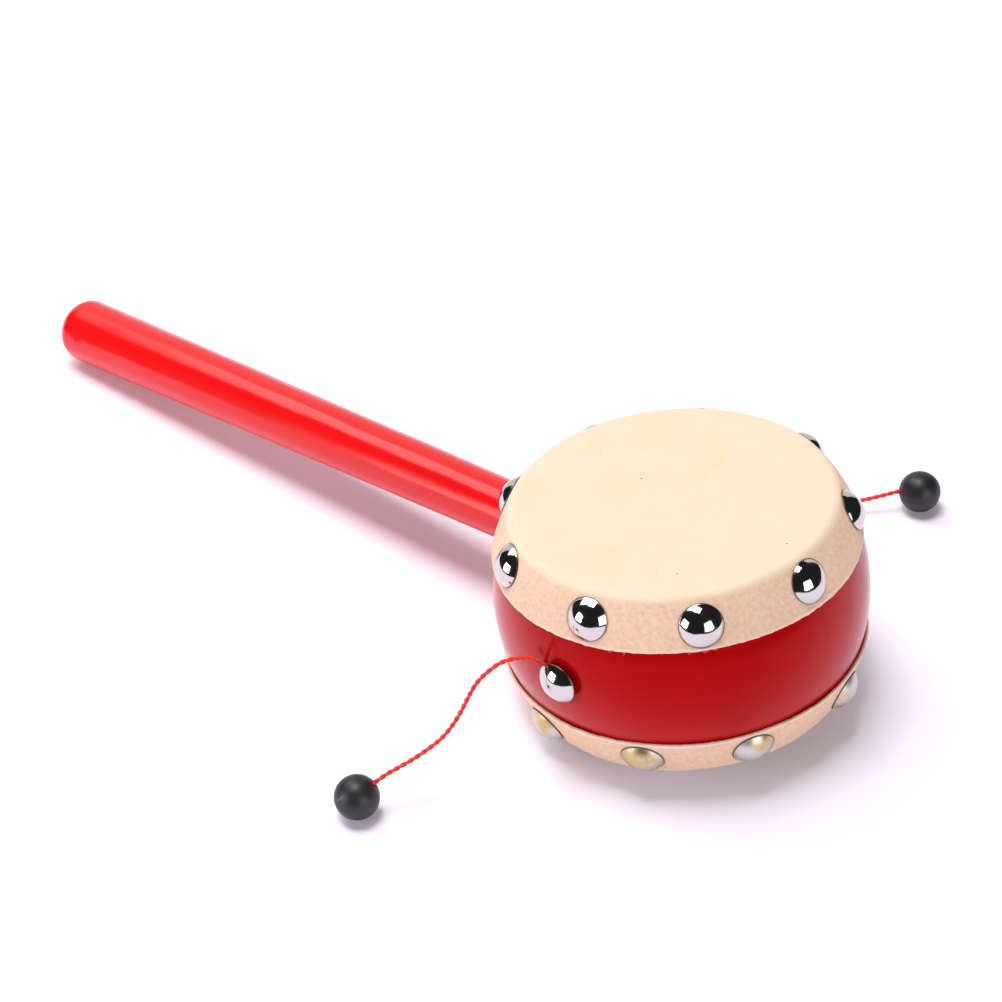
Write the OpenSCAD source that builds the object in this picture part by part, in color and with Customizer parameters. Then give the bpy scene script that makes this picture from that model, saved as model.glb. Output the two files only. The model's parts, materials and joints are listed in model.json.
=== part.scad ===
// Pellet drum rattle: a hollow barrel drum on a turned handle, with two beads on cords that strike its skins.
// It lies as it rests on a table: on the lower skin's fold and the handle's free end.
// Origin: centre of the lower skin's flat face. +Z: up from the table. The handle points to -X.

/* [Drum] */
// Largest diameter of the wooden shell, half way up its band
drum_d = 100; // [90:1:116]
// Height of the wooden shell between the two skins
shell_h = 54.6; // [48:0.2:60]
// Radius of the band's bulge, seen from the side
bulge_r = 53; // [48:1:66]
// Thickness of the shell's wall
wall_t = 4.5; // [4.4:0.1:6.5]
// Rounding of the shell's outer rims
rim_round = 1.4; // [1:0.1:2.5]

/* [Skins] */
// Thickness of the hide
skin_t = 0.9; // [0.6:0.1:1.4]
// Height of a skin's folded skirt, from its flat face to its cut edge
skirt_h = 13.2; // [12.8:0.1:15]

/* [Tacks] */
// Number of tacks round each skin
ring_tacks = 9; // [6:1:10]
// Diameter of a tack's domed head
tack_d = 11.6; // [9:0.2:12]
// Height of a tack's domed head
tack_h = 3.2; // [2.4:0.1:4.2]
// Thickness of the pressed sheet of the head
tack_wall = 0.5; // [0.3:0.1:0.8]
// Diameter of a tack's shank
shank_d = 1.6; // [1.2:0.1:2.2]
// Length of a tack's shank below the edge of its head
shank_l = 4.4; // [3.6:0.1:4.4]
// Drop from the upper skin's flat face to the middle of its tacks
top_tack_drop = 6.6; // [5.6:0.1:6.8]
// Drop from the lower skin's flat face to the middle of its tacks
bottom_tack_drop = 6.9; // [5.6:0.1:7]
// Turn of the upper ring of tacks
top_ring_turn = 37.8; // [0:0.1:40]
// Turn of the lower ring of tacks
bottom_ring_turn = 13.9; // [0:0.1:40]

/* [Handle] */
// Length of the handle that shows, from the band to its end
handle_l = 199; // [150:1:230]
// Diameter of the handle where it meets the band
handle_neck_d = 16.3; // [13:0.1:18]
// Diameter of the handle near its free end
handle_end_d = 19.7; // [18:0.1:26]
// Rounding of the free end
handle_round = 6; // [2:0.5:7]
// Diameter of the slimmer spigot inside the drum
spigot_d = 10; // [8:0.5:11.5]
// Depth of the flat seat in the band that the handle's shoulder meets
seat_depth = 1.6; // [1.4:0.1:2.4]
// Depth of the blind socket in the far wall
socket_depth = 2.5; // [1.5:0.5:3.5]

/* [Cords] */
// Thickness of the twisted string
cord_d = 1.3; // [1.2:0.1:2]
// Angle by which the two cord tacks stand ahead of square to the handle
cord_tack_turn = 1.5; // [0:0.5:6]
// Height of the cord tacks above the middle of the band
cord_tack_z = 1.2; // [0:0.1:4]
// Gap between a cord tack's edge and the point where the cord leaves
cord_exit_gap = 0.8; // [0.6:0.1:1.5]
// Angle above level at which a cord leaves its tack
cord_exit_rise = 30; // [10:5:60]

/* [Beads] */
// Diameter of a bead
bead_d = 12; // [10:0.5:13]
// Diameter of a bead's drilled hole
bead_bore_d = 2.2; // [2.1:0.1:2.6]
// Level distance from the left cord's exit to its bead
left_bead_reach = 51.3; // [50.9:0.1:51.7]
// Compass angle of the left bead from its exit
left_bead_turn = 239.7; // [230:0.1:250]
// Slope of the left bead's hole
left_bead_dip = 32; // [30:1:34]
// Level distance from the right cord's exit to its bead
right_bead_reach = 50.1; // [49.7:0.1:50.5]
// Compass angle of the right bead from its exit
right_bead_turn = 89.1; // [80:0.1:100]
// Slope of the right bead's hole
right_bead_dip = 6; // [4:1:8]
// Angle from the right bead's bearing to its hole, which faces a string that comes in from the side
right_hole_turn = -44; // [-46:1:-42]
// Diameter of the knot that stops a bead, let into the mouth of its hole
knot_d = 3.1; // [2.9:0.1:4]
// How far the knot ends below the bead's surface
knot_sunk = 0.2; // [0:0.1:1]

/* [Hidden] */
$fn = 96;
// Clearance between the shell and a skin stretched over it
skin_fit = 0.1;
// Clearance between a tack's edge and the skin under it
tack_fit = 0.02;
// Clearance round a shank in its hole
pierce_fit = 0.1;
// Space left past the end of a shank or spigot in its blind hole
end_fit = 0.3;
// Clearance round the handle and its spigot in their holes
glue_fit = 0.05;
// Clearance between a cord and what it lies on
cord_fit = 0.05;
// Gap between a knot and its seat in the bead
knot_fit = 0.1;
// How far a cut runs past what it cuts
overrun = 1;

drum_r = drum_d / 2;
tack_r = tack_d / 2;
shank_r = shank_d / 2;
cord_r = cord_d / 2;
bead_r = bead_d / 2;
knot_r = knot_d / 2;

// The band's side is an arc: its centre stands this far from the drum's axis.
bulge_x = drum_r - bulge_r;
// Growth of the shell's outline to the skin's two faces
skin_inside = skin_fit;
skin_outside = skin_fit + skin_t;
// Height of a skin's flat outer face above the drum's middle, and of its cut edge
face_z = shell_h / 2 + skin_outside;
skirt_edge_z = face_z - skirt_h;

// Rings of tacks: side, turn, drop, and each tack's own turn and drop from its even place, as driven by hand
top_ring = [
    1,
    top_ring_turn,
    top_tack_drop,
    [[0.5, 0], [2, 0], [0.5, 0], [2, 0], [3.2, -0.4], [3.4, 0.3], [-0.2, 0.6], [-1.3, -0.3], [-0.8, -0.6]]
];
bottom_ring = [
    -1,
    bottom_ring_turn,
    bottom_tack_drop,
    [[0, 0], [0, 0], [0, 0], [0, 0], [0, 0], [2.9, -0.5], [1.2, 0.3], [-3.1, 0.3], [-2.4, 0]]
];
function own_place(ring, i) = ring[3][(i - 1) % len(ring[3])];
function ring_angle(ring, i) = ring[1] + 360 / ring_tacks * i + own_place(ring, i).x;
// Height of a tack's middle above the drum's middle, whichever the side
function ring_z(ring, i) = face_z - ring[2] - own_place(ring, i).y;

// Outline sizes of the barrel grown by g: arc radius, half height, fold radius, and the fold's centre
function arc_r(g) = bulge_r + g;
function half_h(g) = shell_h / 2 + g;
function fold_r(g) = rim_round + g;
function fold_z(g) = half_h(g) - fold_r(g);
function fold_x(g) = bulge_x + sqrt(pow(arc_r(g) - fold_r(g), 2) - pow(fold_z(g), 2));
// Height at which the arc runs into the fold
function blend_z(g) = fold_z(g) * arc_r(g) / (arc_r(g) - fold_r(g));
// Radius of the barrel grown by g, at height z, and the slope of its surface there
function barrel_x(g, z) = bulge_x + sqrt(pow(arc_r(g), 2) - pow(z, 2));
function barrel_lat(g, z) = asin(z / arc_r(g));

// Radius of a tack's domed outside, and the inner radius of its rim, which meets the band first
dome_r = (pow(tack_r, 2) + pow(tack_h, 2)) / (2 * tack_h);
rim_r = sqrt(pow(dome_r - tack_wall, 2) - pow(dome_r - tack_h, 2));
// Drop of a barrel's surface over that rim: the smaller of its drops along and round the band
function drop_over(curve_r) = curve_r - sqrt(pow(curve_r, 2) - pow(rim_r, 2));
function dome_sink(g, z) =
    min(drop_over(arc_r(g)), drop_over(barrel_x(g, z) / cos(barrel_lat(g, z)))) - tack_fit;

// Handle: it runs along -X from the drum's middle.
handle_end_x = drum_r + handle_l;
seat_x = drum_r - seat_depth;
far_wall_x = drum_r - wall_t;
spigot_end_x = far_wall_x + socket_depth - end_fit;
neck_r = handle_neck_d / 2;
end_r = handle_end_d / 2;
spigot_r = spigot_d / 2;

// Rest tilt: a table touches the lower skin's fold and the handle's rounded end.
rest_run = handle_end_x - handle_round - fold_x(skin_outside);
rest_rise = end_r - handle_round - fold_z(skin_outside);
rest_tilt =
    asin((fold_r(skin_outside) - handle_round) / norm([rest_run, rest_rise])) - atan2(rest_rise, rest_run);
// Height of the table in the part's frame
table_z = -fold_x(skin_outside) * sin(rest_tilt) - fold_r(skin_outside) * (1 - cos(rest_tilt));

// A point given about the drum's middle, moved to the rest pose
function at_rest(p) = [
    p.x * cos(rest_tilt) - (p.z + face_z) * sin(rest_tilt),
    p.y,
    p.x * sin(rest_tilt) + (p.z + face_z) * cos(rest_tilt)
];

// Cord tacks: side is -1 on the left and 1 on the right.
function cord_tack_angle(side) = side * (90 - cord_tack_turn);
// The head stands off the band by the string under it.
cord_tack_rise = cord_d;
// Height of the string's middle above the band at its loop and at its exit
loop_h = cord_r + cord_fit;
exit_h = cord_r - dome_sink(0, cord_tack_z) + cord_fit;
loop_r = shank_r + cord_r + cord_fit;
exit_r = tack_r + cord_exit_gap;
// Exit point on the tack's own axes: its -X is up the band, and its Y runs round it.
exit_local = [-exit_r * sin(cord_exit_rise), -exit_r * cos(cord_exit_rise), exit_h];
// A point on the axes of a tack at angle a and height z of the barrel grown by g, about the drum's middle
function from_band(p, g, z, a) =
    let (
        lat = barrel_lat(g, z),
        out = barrel_x(g, z) + p.x * sin(lat) + p.z * cos(lat),
        up = z - p.x * cos(lat) + p.z * sin(lat)
    )
    [out * cos(a) - p.y * sin(a), out * sin(a) + p.y * cos(a), up];
// A point on a cord tack's own axes, in the rest pose
function on_tack(p, side) = at_rest(from_band(p, 0, cord_tack_z, cord_tack_angle(side)));
function cord_exit(side) = on_tack(exit_local, side);

// Routes of the cords: distance from the exit towards the bead, distance to the left of that bearing, and
// height above the table
left_stub_route = [[2.8, 0, 38.7], [8.3, 0, 39.9]];
left_inner_route = [
    [8.3, 0, 39.9], [10.8, 0, 39.6], [13.3, 0, 38.3], [17.3, 0, 34.9], [19.7, 0, 31], [21.9, 0, 26.7], [24.5, 0, 22.6]
];
left_outer_route = [
    [24.5, 0, 22.6], [27.5, 0, 19.2], [31.6, 0, 16.4], [35.6, 0, 14.3], [39.5, 0, 12.7], [42.6, 0, 11.5],
    [45.7, 0, 9.8]
];
right_stub_route = [[3, 0.4, 37.8], [5.5, 1, 37.1]];
right_inner_route = [
    [5.5, 1, 37.1], [8, 2, 34.2], [10.8, 3.1, 30.6], [14.7, 4.8, 25.4], [19.1, 6.8, 19.7], [23.5, 8.8, 14.4]
];
right_outer_route = [
    [23.5, 8.8, 14.4], [27.2, 10.5, 10.5], [30.7, 11.9, 7.4], [34, 12.6, 5.4], [37.2, 11.5, 4.7],
    [40.1, 9.1, 5.2], [42.8, 6.7, 5.9], [45.6, 4.3, 6.6]
];

// Angle that a cord wraps round its shank, and the step between its rings there
wrap_angle = 240;
wrap_step = 30;
// Gap that lets two stretches of one cord fold at their joint
bend_gap = 1.5;
// Radius of a stretch's round end, as a share of the cord's
round_end_share = 0.85;
// Sides of a cord
cord_sides = 8;
// Distance from a knot's middle to its flat side, as a share of its radius
knot_flat_share = 0.66;

function level(turn) = [cos(turn), sin(turn), 0];
function across(turn) = [-sin(turn), cos(turn), 0];
function route_point(p, exit, turn) =
    [exit.x, exit.y, table_z] + p.x * level(turn) + p.y * across(turn) + [0, 0, p.z];
function bead_centre(exit, turn, reach) = route_point([reach, 0, bead_r], exit, turn);
// Direction of a bead's hole, from its cord to its knot
function hole_axis(hole) = cos(hole.y) * level(hole.x) - [0, 0, sin(hole.y)];

left_exit = cord_exit(-1);
right_exit = cord_exit(1);
left_bead_at = bead_centre(left_exit, left_bead_turn, left_bead_reach);
right_bead_at = bead_centre(right_exit, right_bead_turn, right_bead_reach);
// Compass angles and slopes of the beads' holes
left_hole = [left_bead_turn, left_bead_dip];
right_hole = [right_bead_turn + right_hole_turn, right_bead_dip];
// Distances from a bead's middle to its knot's middle, and to the knot's flat side
knot_centre = bead_r - knot_sunk - knot_r;
knot_at = knot_centre - knot_r * knot_flat_share;

TOP_TACKS = [for (i = [1 : ring_tacks]) str("top_tack_", i)];
BOTTOM_TACKS = [for (i = [1 : ring_tacks]) str("bottom_tack_", i)];

// Right half of the barrel's outline grown by g: an arc, a flat rim and a fold between them
module barrel_outline(g) {
    intersection() {
        translate([bulge_x, 0]) circle(arc_r(g));
        translate([0, -blend_z(g)]) square([drum_r + g + overrun, 2 * blend_z(g)]);
    }
    translate([0, -half_h(g)]) square([fold_x(g), 2 * half_h(g)]);
    for (s = [-1, 1])
        translate([fold_x(g), s * fold_z(g)]) circle(fold_r(g));
}

// Puts a piece on the surface of the barrel grown by g, at height z and angle a, its Z pointing outwards
module on_band(g, z, a) {
    rotate([0, 0, a])
        translate([barrel_x(g, z), 0, z])
            rotate([0, 90 - barrel_lat(g, z), 0])
                children();
}

// Lays the drum, drawn about its own middle, on the table
module lay_down() {
    rotate([0, -rest_tilt, 0])
        translate([0, 0, face_z])
            children();
}

// Holes for one ring of tacks, to a depth below the edges of their heads
module ring_holes(ring, below) {
    for (i = [1 : ring_tacks])
        let (
            z = ring_z(ring, i),
            depth = dome_sink(skin_outside, z) + below
        )
        on_band(skin_outside, ring[0] * z, ring_angle(ring, i))
            translate([0, 0, -depth]) cylinder(h = depth + overrun, r = shank_r + pierce_fit);
}

module handle_holes() {
    // Through the near wall for the spigot
    translate([-drum_r - overrun, 0, 0])
        rotate([0, 90, 0]) cylinder(h = drum_r + overrun, r = spigot_r + glue_fit);
    // Flat seat for the shoulder
    translate([-drum_r - overrun, 0, 0])
        rotate([0, 90, 0]) cylinder(h = seat_depth + overrun, r = neck_r + glue_fit);
    // Blind socket in the far wall
    rotate([0, 90, 0]) cylinder(h = far_wall_x + socket_depth, r = spigot_r + glue_fit);
}

module drum_shell() {
    color("#b21817") lay_down()
        difference() {
            rotate_extrude()
                difference() {
                    barrel_outline(0);
                    intersection() {
                        translate([bulge_x, 0]) circle(arc_r(-wall_t));
                        translate([0, -half_h(overrun)]) square([drum_r, 2 * half_h(overrun)]);
                    }
                }
            handle_holes();
            ring_holes(top_ring, shank_l + end_fit);
            ring_holes(bottom_ring, shank_l + end_fit);
            for (side = [-1, 1])
                on_band(0, cord_tack_z, cord_tack_angle(side))
                    translate([0, 0, cord_tack_rise - shank_l - end_fit])
                        cylinder(h = shank_l, r = shank_r + pierce_fit);
        }
}

// One skin, drawn as the upper one: a flat face, a fold and a skirt
module skin() {
    rotate_extrude()
        intersection() {
            difference() {
                barrel_outline(skin_outside);
                barrel_outline(skin_inside);
            }
            translate([0, skirt_edge_z]) square([drum_r + skin_outside + overrun, skirt_h + overrun]);
        }
}

module top_head() {
    color("#fbe6cd") lay_down()
        difference() {
            skin();
            ring_holes(top_ring, skin_outside + overrun);
        }
}

module bottom_head() {
    color("#e9cdb2") lay_down()
        difference() {
            mirror([0, 0, 1]) skin();
            ring_holes(bottom_ring, skin_outside + overrun);
        }
}

// Tack with its shank along -Z and the edge of its domed head at z = 0
module tack() {
    rotate_extrude()
        intersection() {
            difference() {
                translate([0, tack_h - dome_r]) circle(dome_r);
                translate([0, tack_h - dome_r]) circle(dome_r - tack_wall);
            }
            square([tack_r, tack_h]);
        }
    rotate_extrude()
        polygon([
            [0, tack_h - tack_wall / 2],
            [shank_r, tack_h - tack_wall / 2],
            [shank_r, shank_d - shank_l],
            [0, -shank_l]
        ]);
}

module ring_tack(ring, i) {
    z = ring_z(ring, i);
    color("#c9ccd1") lay_down()
        on_band(skin_outside, ring[0] * z, ring_angle(ring, i))
            translate([0, 0, -dome_sink(skin_outside, z)]) tack();
}

module cord_tack(side) {
    color("#c9ccd1") lay_down()
        on_band(0, cord_tack_z, cord_tack_angle(side))
            translate([0, 0, cord_tack_rise]) tack();
}

module handle() {
    color("#f01a1c") lay_down()
        rotate([0, -90, 0]) rotate_extrude() {
            polygon([
                [0, -spigot_end_x],
                [spigot_r, -spigot_end_x],
                [spigot_r, seat_x],
                [neck_r, seat_x],
                [end_r, handle_end_x - handle_round],
                [end_r - handle_round, handle_end_x],
                [0, handle_end_x]
            ]);
            translate([end_r - handle_round, handle_end_x - handle_round])
                intersection() {
                    circle(handle_round);
                    square(handle_round);
                }
        }
}

function unit(v) = v / norm(v);
// Direction of a path at its point i, halfway between the stretches that meet there
function ring_dir(path, i) =
    let (
        a = path[max(i - 1, 0)],
        b = path[min(i + 1, len(path) - 1)]
    )
    unit(b - a);

// Sideways direction at each point of a path from point i on: last, leaned as little as the path allows
function ring_sides(path, i, last) =
    i == len(path)
        ? []
        : let (
            dir = ring_dir(path, i),
            side = unit(last - (last * dir) * dir)
        )
        concat([side], ring_sides(path, i + 1, side));

// Tube of cord along a path; aside is a sideways direction at its start
module cord_tube(path, aside) {
    n = len(path);
    sides = ring_sides(path, 0, aside);
    points = [
        for (i = [0 : n - 1])
            let (up = cross(ring_dir(path, i), sides[i]))
            for (k = [0 : cord_sides - 1])
                let (a = 360 / cord_sides * k)
                path[i] + cord_r * (cos(a) * sides[i] + sin(a) * up)
    ];
    walls = [
        for (i = [0 : n - 2])
            for (k = [0 : cord_sides - 1])
                let (
                    here = i * cord_sides + k,
                    next = i * cord_sides + (k + 1) % cord_sides
                )
                [here, here + cord_sides, next + cord_sides, next]
    ];
    start_face = [for (k = [0 : cord_sides - 1]) k];
    end_face = [for (k = [cord_sides - 1 : -1 : 0]) (n - 1) * cord_sides + k];
    polyhedron(points, concat([start_face], walls, [end_face]));
}

// The path without its first stretch of length gap
function trimmed(path, gap) =
    let (step = path[1] - path[0])
    norm(step) > gap
        ? concat([path[0] + gap * unit(step)], [for (i = [1 : len(path) - 1]) path[i]])
        : trimmed([for (i = [1 : len(path) - 1]) path[i]], gap - norm(step));

function placed(route, exit, turn) = [for (p = route) route_point(p, exit, turn)];

// The tied end of a cord: it wraps the shank, and its stiff stub leaves under the tack
module cord_loop(side, exit, route, turn) {
    lead_turn = atan2(exit_local.y, exit_local.x);
    wrap = [
        for (a = [-wrap_angle : wrap_step : 0])
            let (b = a + lead_turn - 90)
            [loop_r * cos(b), loop_r * sin(b), loop_h]
    ];
    tied = [for (p = wrap) on_tack(p, side)];
    color("#e8322c") {
        cord_tube(
            concat(tied, [exit], placed(route, exit, turn)),
            on_tack([0, 0, 1], side) - on_tack([0, 0, 0], side)
        );
        round_end(route, exit, turn);
    }
}

// Round end of a stretch, at the joint where the next one bends
module round_end(route, exit, turn) {
    translate(route_point(route[len(route) - 1], exit, turn)) sphere(cord_r * round_end_share);
}

// A free stretch of cord between two bending joints
module cord_stretch(route, exit, turn) {
    color("#e8322c") {
        cord_tube(trimmed(placed(route, exit, turn), bend_gap), across(turn));
        round_end(route, exit, turn);
    }
}

// The last stretch: it runs on through the bead to the knot
module cord_end(route, exit, turn, bead_at, hole) {
    path = concat(
        trimmed(placed(route, exit, turn), bend_gap),
        [bead_at, bead_at + knot_at * hole_axis(hole)]
    );
    color("#e8322c") cord_tube(path, across(turn));
}

// Puts a piece at a bead's middle, its Z along the hole towards the knot
module on_bead(bead_at, hole) {
    translate(bead_at) rotate([0, 90 + hole.y, hole.x]) children();
}

module bead(bead_at, hole) {
    color("#1c1b1d") on_bead(bead_at, hole)
        difference() {
            sphere(bead_r);
            cylinder(h = 2 * (bead_r + overrun), r = bead_bore_d / 2, center = true);
            // Wider mouth that takes the knot
            translate([0, 0, knot_at - knot_fit]) cylinder(h = bead_r, r = knot_r + knot_fit);
        }
}

// A half-round knot, flat where it meets the cord and sits in the bead
module knot(bead_at, hole) {
    color("#d92d28") on_bead(bead_at, hole)
        translate([0, 0, knot_at])
            intersection() {
                translate([0, 0, knot_centre - knot_at]) sphere(knot_r);
                cylinder(h = knot_d, r = knot_r);
            }
}

drum_shell();
top_head();
bottom_head();
for (i = [1 : ring_tacks]) {
    ring_tack(top_ring, i);
    ring_tack(bottom_ring, i);
}
cord_tack(-1);  // left_cord_tack
cord_tack(1);  // right_cord_tack
handle();
cord_loop(-1, left_exit, left_stub_route, left_bead_turn);  // left_cord_loop
cord_loop(1, right_exit, right_stub_route, right_bead_turn);  // right_cord_loop
cord_stretch(left_inner_route, left_exit, left_bead_turn);  // left_cord_inner
cord_stretch(right_inner_route, right_exit, right_bead_turn);  // right_cord_inner
cord_end(left_outer_route, left_exit, left_bead_turn, left_bead_at, left_hole);  // left_cord_outer
cord_end(right_outer_route, right_exit, right_bead_turn, right_bead_at, right_hole);  // right_cord_outer
bead(left_bead_at, left_hole);  // left_bead
bead(right_bead_at, right_hole);  // right_bead
knot(left_bead_at, left_hole);  // left_knot
knot(right_bead_at, right_hole);  // right_knot
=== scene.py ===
from functools import partial
import json
import math

import bpy
import numpy as np
from mathutils import Matrix, Vector


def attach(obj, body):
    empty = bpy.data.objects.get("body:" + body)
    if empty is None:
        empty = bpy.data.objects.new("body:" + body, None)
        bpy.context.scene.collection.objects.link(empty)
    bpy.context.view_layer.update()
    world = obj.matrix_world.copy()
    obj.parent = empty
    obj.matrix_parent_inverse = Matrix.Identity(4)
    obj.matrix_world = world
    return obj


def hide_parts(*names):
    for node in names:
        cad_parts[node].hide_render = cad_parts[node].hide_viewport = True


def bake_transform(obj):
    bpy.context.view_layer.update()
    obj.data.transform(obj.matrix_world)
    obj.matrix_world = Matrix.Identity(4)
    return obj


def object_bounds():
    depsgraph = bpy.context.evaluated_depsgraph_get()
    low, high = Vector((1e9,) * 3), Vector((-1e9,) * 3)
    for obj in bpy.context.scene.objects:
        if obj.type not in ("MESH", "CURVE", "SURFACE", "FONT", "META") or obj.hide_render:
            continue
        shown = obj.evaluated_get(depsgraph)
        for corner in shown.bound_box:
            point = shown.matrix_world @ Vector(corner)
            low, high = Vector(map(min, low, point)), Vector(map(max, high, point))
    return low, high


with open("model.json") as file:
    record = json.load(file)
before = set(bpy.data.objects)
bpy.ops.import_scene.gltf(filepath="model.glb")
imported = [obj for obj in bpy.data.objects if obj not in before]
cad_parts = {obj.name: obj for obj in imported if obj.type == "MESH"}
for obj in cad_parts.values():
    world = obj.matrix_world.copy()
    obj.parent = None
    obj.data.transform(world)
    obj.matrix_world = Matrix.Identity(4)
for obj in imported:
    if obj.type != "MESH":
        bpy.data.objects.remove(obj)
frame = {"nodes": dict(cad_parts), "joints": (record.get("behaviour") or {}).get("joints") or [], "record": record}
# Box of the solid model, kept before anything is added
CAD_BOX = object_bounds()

bl_info = {
    "name": "Pellet drum rattle",
    "version": (1, 0, 0),
    "blender": (4, 5, 0),
    "location": "3D View > Sidebar > Rattle",
    "description": "Dresses the frame of a pellet drum rattle: skins, tacks, painted wood, cords and beads",
    "category": "Add Mesh",
}

MM = 0.001
JOINTS = {joint["name"]: joint for joint in frame["joints"]}
# The table that the toy lies on is as low as its lowest point.
TABLE_Z = CAD_BOX[0].z
# The lower skin's face leans by the rest tilt, and its mount says how far.
FACE_AXIS = frame["record"]["mounts"][0]["axis"]
REST_TILT = math.atan2(FACE_AXIS[0], -FACE_AXIS[2])
# Clearance between a tack's edge and the skin, and between a string and what it lies on
TACK_FIT = 0.02 * MM
CORD_FIT = 0.05 * MM


def length(name, description, default, unit="LENGTH"):
    """A length property, in metres."""
    return bpy.props.FloatProperty(name=name, description=description, default=default, unit=unit)


def angle(name, description, degrees):
    """An angle property, given here in degrees."""
    return length(name, description, math.radians(degrees), "ROTATION")


def hex_to_linear(code):
    """A colour written as an sRGB hex value, turned to linear red, green, blue and alpha."""
    srgb = np.array([int(code[i : i + 2], 16) for i in (1, 3, 5)]) / 255
    linear = np.where(srgb <= 0.04045, srgb / 12.92, ((srgb + 0.055) / 1.055) ** 2.4)
    return (*linear.tolist(), 1.0)


def colour(name, description, code):
    """A colour property, given as an sRGB hex value."""
    return bpy.props.FloatVectorProperty(
        name=name, description=description, default=hex_to_linear(code), size=4, subtype="COLOR"
    )


class RattleDrumSizes(bpy.types.PropertyGroup):
    """Sizes of the wooden shell and its two skins"""

    drum_d: length("Drum diameter", "Largest diameter of the shell, half way up", 0.1)
    shell_h: length("Shell height", "Height of the shell between its skins", 0.0546)
    bulge_r: length("Bulge radius", "Radius of the band's bulge, seen from the side", 0.053)
    rim_round: length("Rim rounding", "Rounding of the shell's outer rims", 0.0014)
    skin_t: length("Skin thickness", "Thickness of the hide", 0.0009)
    skin_fit: length("Skin clearance", "Clearance between shell and skin", 0.0001)
    skirt_h: length("Skirt height", "From a skin's flat face to its cut edge", 0.0132)
    edge_wander: length("Edge wander", "How far a skin's cut edge wanders up and down", 0.00022)
    edge_rag: length("Edge raggedness", "How ragged the cut edge is", 0.00009)
    edge_lift: length("Edge lift", "How far the skirt stands off the band between two tacks", 0.00018)
    ridge_w: length("Paint ridge", "Width of the paint that creeps out from under a skin", 0.0013)


class RattleTackSizes(bpy.types.PropertyGroup):
    """Sizes of the domed tacks and the places of their rings"""

    ring_count: bpy.props.IntProperty(name="Tacks", description="Tacks round each skin", default=9)
    tack_d: length("Tack diameter", "Diameter of a domed head", 0.0116)
    tack_h: length("Tack height", "Height of a domed head", 0.0032)
    tack_wall: length("Sheet thickness", "Thickness of the pressed sheet", 0.0005)
    dent: length("Dents", "Depth of the shallow dents in a pressed dome", 0.000012)
    shank_d: length("Shank diameter", "Diameter of a shank", 0.0016)
    shank_l: length("Shank length", "Length of a shank below the head", 0.0044)
    top_drop: length("Upper tacks' drop", "From the upper skin's flat face to its tacks' middle", 0.0066)
    bottom_drop: length("Lower tacks' drop", "From the lower skin's flat face to its tacks' middle", 0.0069)
    top_turn: angle("Upper ring's turn", "Turn of the upper ring of tacks", 37.8)
    bottom_turn: angle("Lower ring's turn", "Turn of the lower ring of tacks", 13.9)
    cord_turn: angle("Cord tacks' turn", "Angle of the cord tacks ahead of square", 1.5)
    cord_z: length("Cord tacks' height", "Height above the middle of the band", 0.0012)


class RattleHandleSizes(bpy.types.PropertyGroup):
    """Sizes of the turned handle"""

    handle_l: length("Handle length", "From the band to the free end", 0.199)
    neck_d: length("Neck diameter", "Diameter at the band", 0.0163)
    end_d: length("End diameter", "Diameter near the free end", 0.0197)
    end_round: length("End rounding", "Rounding of the free end", 0.006)
    spigot_d: length("Spigot diameter", "Diameter of the spigot inside the drum", 0.01)
    spigot_end: length("Spigot's reach", "From the drum's axis to the spigot's end", 0.0477)
    seat_depth: length("Seat depth", "Depth of the flat seat in the band", 0.0016)
    sag: length("Paint unevenness", "Height of the waves in the thick enamel", 0.00005)


class RattleCordSizes(bpy.types.PropertyGroup):
    """Sizes of the twisted strings"""

    cord_d: length("String thickness", "Thickness of the twisted string", 0.0013)
    lay: length("Lay", "Length of one full turn of the two plies", 0.0042)
    exit_gap: length("Exit gap", "From a cord tack's edge to the string's exit", 0.0008)
    exit_rise: angle("Exit rise", "Angle at which a string leaves its tack", 30)
    left_turn: angle("Left string's heading", "Compass angle of the left string", 239.7)
    right_turn: angle("Right string's heading", "Compass angle of the right string", 89.1)
    bend: length("Bend length", "Length of string that bends at a joint, to each side", 0.003)


class RattleBeadSizes(bpy.types.PropertyGroup):
    """Sizes of the drilled beads and the knots in them"""

    bead_d: length("Bead diameter", "Diameter of a bead", 0.012)
    bore_d: length("Hole diameter", "Diameter of a bead's hole", 0.0022)
    mouth_round: length("Mouth rounding", "Rounding where the hole meets the bead's surface", 0.0002)
    knot_d: length("Knot diameter", "Diameter of a knot", 0.0031)
    knot_fit: length("Knot clearance", "Gap between a knot and its seat", 0.0001)
    knot_sunk: length("Knot depth", "How far a knot ends below the bead's surface", 0.0002)


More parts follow.
